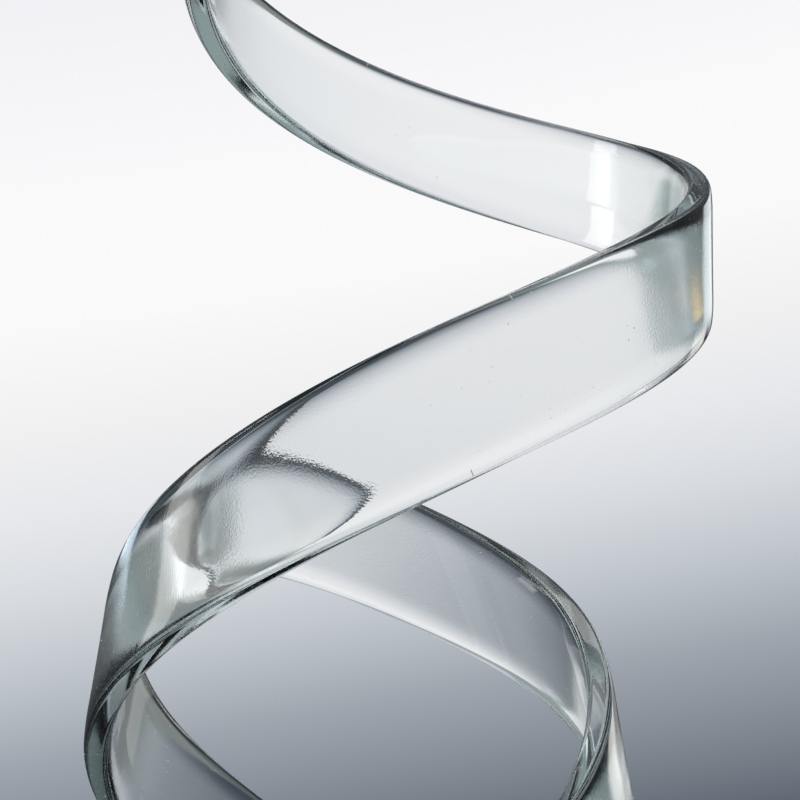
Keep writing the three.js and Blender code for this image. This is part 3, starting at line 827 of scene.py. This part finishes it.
backdrop = dict(
    slant=9.7,  # degrees by which the shading tilts down to the right
    # Degrees above the horizon and colour
    stops=((-12, (0.075, 0.09, 0.11)), (-9, (0.12, 0.143, 0.178)), (-6, (0.25, 0.28, 0.32)),
           (-4, (0.34, 0.375, 0.42)), (-1.2, (0.53, 0.565, 0.61)), (1.2, (0.68, 0.705, 0.74)),
           (3.6, (0.79, 0.8, 0.83)), (6, (0.86, 0.86, 0.87)), (10, (0.955, 0.952, 0.958)),
           (14, (0.95, 0.95, 0.96)), (20, (0.88, 0.88, 0.91))),
    paleSides=(0.66, 0.67, 0.69),  # away from the photographed direction
    paleTop=(0.93, 0.93, 0.94),
    paleFrom=-2, paleTo=12,
    photoHalf=34, photoFade=25,  # degrees each side of the middle
)
studio = dict(
    # What bent rays see away from the backdrop, from straight down to straight up
    around=((-90, (0.004, 0.008, 0.008)), (-58, (0.005, 0.01, 0.01)), (-42, (0.03, 0.045, 0.043)),
            (-20, (0.11, 0.15, 0.147)), (0, (0.29, 0.35, 0.35)), (20, (0.32, 0.38, 0.38)),
            (45, (0.39, 0.46, 0.465)), (70, (0.58, 0.63, 0.64))),
    dimmed=(0.74, 0.95), dimmedFrom=-6, dimmedTo=6,  # what the backdrop keeps, low and high
    backdropTurns=(-14, 14, 2), backdropHeights=(-26, 64, 6),  # from, to and softness
    # The pale backdrop of the other sides, near the horizon, likewise
    paleTurns=(70, 200, 20), paleHeights=(-22, 22, 8),
    # Cards and flags round the backdrop: azimuth from and to, elevation from and to and
    # softness, in degrees, and colour
    cards=dict(
        upperLeft=(-34, -12, 18, 58, 6, (0.74, 0.77, 0.77)),
        upperRight=(14, 60, 38, 76, 8, (0.66, 0.69, 0.74)),
        leftFlag=(-29, -14.5, -16, 14, 4, (0.24, 0.255, 0.25)),
        leftBlue=(-41, -30, -8, 40, 3, (0.42, 0.48, 0.5)),
        lowLeftFlag=(-50, -22, -56, -10, 4, (0.02, 0.025, 0.025)),
        rightWhite=(16, 25, -9, 4, 2, (0.95, 0.96, 0.97)),
        rightWarm=(31, 42, 10.5, 15, 3, (0.95, 0.76, 0.45)),
        rightPale=(45, 80, -20, 20, 6, (0.62, 0.68, 0.72)),
        strip=(-85, -70, -4, 40, 3, (3.0, 3.0, 2.9)),
        lowRightFlag=(8, 24, -56, -18, 4, (0.006, 0.01, 0.01)),
        lowRight=(30, 62, -48, -26, 5, (0.5, 0.53, 0.56)),
    ),
    # What is mirrored: a dim room, a soft light overhead and windows
    room=((-90, (0.05, 0.05, 0.06)), (-15, (0.07, 0.073, 0.08)), (10, (0.1, 0.103, 0.11)),
          (45, (0.17, 0.175, 0.19)), (90, (0.34, 0.34, 0.35))),
    windows=dict(
        overhead=(-60, 60, 58, 80, 10, (1.2, 1.2, 1.2)),
        strip=(-85, -70, -4, 40, 3, (3.0, 3.0, 2.9)),
        leftBlue=(-44, -26, 4, 14, 3, (2.1, 2.6, 2.9)),
        rightLow=(18, 31, -16, 3, 4, (0.5, 0.5, 0.5)),
        rightWhite=(31, 46, -3, 7, 4, (2.3, 2.3, 2.2)),
        rightEdge=(20, 36, 7, 18, 4, (1.45, 1.55, 1.6)),
    ),
    fill=(0.9, 0.93, 1.0), fillStrength=0.5,  # the light on dull surfaces
)


def makeWorld():
    world = bpy.data.worlds.new("studio")
    scene.world = world
    world.use_nodes = True
    world.node_tree.nodes.clear()
    n = NodeWriter(world.node_tree)
    m = n.math
    direction = n.add("ShaderNodeTexCoord").outputs["Generated"]
    parts = n.add("ShaderNodeSeparateXYZ")
    n.feed(parts.inputs[0], direction)
    x, y, z = parts.outputs
    elevation = m("DIVIDE", m("ARCSINE", z), degree)
    azimuth = m("DIVIDE", m("ARCTAN2", x, y), degree)

    def byHeight(height, stops):
        low, high = stops[0][0], stops[-1][0]
        places = [((angle - low) / (high - low), colour) for angle, colour in stops]
        return n.ramp(n.remap(height, low, high, 0, 1), *places)

    def inside(value, low, high, soft):
        rising = n.remap(value, low - soft / 2, low + soft / 2, 0, 1, smoothly=True)
        falling = n.remap(value, high - soft / 2, high + soft / 2, 1, 0, smoothly=True)
        return m("MULTIPLY", rising, falling)

    def withCards(colour, cards):
        for left, right, low, high, soft, paint in cards.values():
            share = m("MULTIPLY", inside(azimuth, left, right, soft),
                      inside(elevation, low, high, soft))
            colour = n.mixColour(share, colour, paint)
        return colour

    # Seen directly: the photographed gradient, and a pale backdrop towards the other sides
    tilted = m("SUBTRACT", elevation, m("MULTIPLY", x, backdrop["slant"]))
    shaded = byHeight(tilted, backdrop["stops"])
    half = backdrop["photoHalf"]
    inPhoto = inside(azimuth, -half, half, backdrop["photoFade"])
    high = n.remap(elevation, backdrop["paleFrom"], backdrop["paleTo"], 0, 1, smoothly=True)
    pale = n.mixColour(high, backdrop["paleSides"], backdrop["paleTop"])
    seen = n.mixColour(inPhoto, pale, shaded)

    # Seen through the glass, where the gradient loses a little, most of all low down
    bent = byHeight(elevation, studio["around"])
    kept = n.remap(tilted, studio["dimmedFrom"], studio["dimmedTo"], *studio["dimmed"],
                   smoothly=True)
    dimmed = n.vector("SCALE", shaded, kept)
    level = m("MULTIPLY", inside(elevation, *studio["paleHeights"]),
              inside(m("ABSOLUTE", azimuth), *studio["paleTurns"]))
    bent = n.mixColour(level, bent, pale)
    behind = m("MULTIPLY", inside(azimuth, *studio["backdropTurns"]),
               inside(elevation, *studio["backdropHeights"]))
    bent = n.mixColour(behind, bent, dimmed)
    bent = withCards(bent, studio["cards"])
    mirrored = withCards(byHeight(elevation, studio["room"]), studio["windows"])

    rays = n.add("ShaderNodeLightPath").outputs
    picture = n.add("ShaderNodeBackground")
    colour = n.mixColour(rays["Is Transmission Ray"], mirrored, bent)
    n.feed(picture.inputs["Color"], n.mixColour(rays["Is Camera Ray"], colour, seen))
    lamp = n.add("ShaderNodeBackground")
    lamp.inputs["Color"].default_value = (*studio["fill"], 1)
    lamp.inputs["Strength"].default_value = studio["fillStrength"]
    mix = n.add("ShaderNodeMixShader")
    mirroredOrBent = m("MAXIMUM", rays["Is Glossy Ray"], rays["Is Transmission Ray"])
    n.feed(mix.inputs[0], m("MAXIMUM", rays["Is Camera Ray"], mirroredOrBent))
    n.feed(mix.inputs[1], lamp.outputs[0])
    n.feed(mix.inputs[2], picture.outputs[0])
    output = n.add("ShaderNodeOutputWorld")
    n.feed(output.inputs[0], mix.outputs[0])


makeWorld()


# The floor and the lamps, in metres

floorLook = dict(
    radius=1.15, sides=96,
    solidTo=0.55,  # from here on the floor melts into the backdrop
    colour=(0.7, 0.71, 0.73), paler=(0.76, 0.765, 0.78), cloudScale=6.0,
    roughness=0.6,
)


def makeFloor():
    look = floorLook
    radius, sides = look["radius"], look["sides"]
    turns = [2 * math.pi * i / sides for i in range(sides)]
    points = [(radius * math.cos(turn), radius * math.sin(turn), 0) for turn in turns]
    mesh = bpy.data.meshes.new("floor")
    mesh.from_pydata(points, [], [list(range(sides))])
    floor = bpy.data.objects.new("floor", mesh)
    scene.collection.objects.link(floor)
    material, n, shader, output = newMaterial("floorPaint")
    spot = objectPlace(n)
    clouds = n.noise(spot, look["cloudScale"], detail=3.0)
    n.feed(shader.inputs["Base Color"], n.mixColour(clouds, look["colour"], look["paler"]))
    shader.inputs["Roughness"].default_value = look["roughness"]
    away = n.add("ShaderNodeVectorMath", operation="LENGTH")
    n.feed(away.inputs[0], spot)
    faded = n.remap(away.outputs["Value"], look["solidTo"], radius, 0, 1, smoothly=True)
    mix = n.add("ShaderNodeMixShader")
    n.feed(mix.inputs[0], faded)
    n.feed(mix.inputs[1], shader.outputs[0])
    n.feed(mix.inputs[2], n.add("ShaderNodeBsdfTransparent").outputs[0])
    n.feed(output.inputs["Surface"], mix.outputs[0])
    mesh.materials.append(material)
    floor.visible_transmission = False
    floor.visible_glossy = False


makeFloor()


lampsAim = (0, 0, 0.2)  # the middle of the coil
lamps = dict(
    windowLeft=dict(location=(-0.9, -0.5, 0.8), size=(0.5, 0.9), power=4.6, mirrored=False),
    windowRight=dict(location=(0.9, -0.2, 0.6), size=(0.3, 0.9), power=3.2, mirrored=False),
    softTop=dict(location=(0, 0.2, 1.3), size=(0.9, 0.9), power=4.2, mirrored=True),
)


def makeLamp(name, location, size, power, mirrored):
    light = bpy.data.lights.new(name, "AREA")
    light.shape = "RECTANGLE"
    light.size, light.size_y = size
    light.energy = power
    lamp = bpy.data.objects.new(name, light)
    lamp.location = location
    aim = Vector(lampsAim) - Vector(location)
    lamp.rotation_euler = aim.to_track_quat("-Z", "Y").to_euler()
    lamp.visible_camera = False
    lamp.visible_glossy = mirrored
    lamp.visible_transmission = False
    scene.collection.objects.link(lamp)


for name, values in lamps.items():
    makeLamp(name, **values)
print("stage and lamps set")


# The camera, fitted to the traced edges of the photograph

photo = dict(
    width=800, focal=1757.9,  # pixels
    distance=356.05, aside=-4.333, height=178,  # millimetres, from the coil's axis and the feet
    fittedAxis=-14,  # where the axis started in the fit
    pitch=0.099,  # radians, upwards
    sensor=36,
)


def makeCamera():
    data = bpy.data.cameras.new("photoView")
    data.sensor_width = photo["sensor"]
    data.sensor_fit = "HORIZONTAL"
    data.lens = photo["focal"] / photo["width"] * data.sensor_width
    data.clip_start = 0.01
    camera = bpy.data.objects.new("photoView", data)
    camera.location = (photo["aside"] * mm + axisStart - photo["fittedAxis"] * mm,
                       -photo["distance"] * mm,
                       footHeight + photo["height"] * mm)
    camera.rotation_euler = (math.pi / 2 + photo["pitch"], 0, 0)
    scene.collection.objects.link(camera)
    scene.camera = camera


makeCamera()
scene.view_settings.view_transform = "Standard"
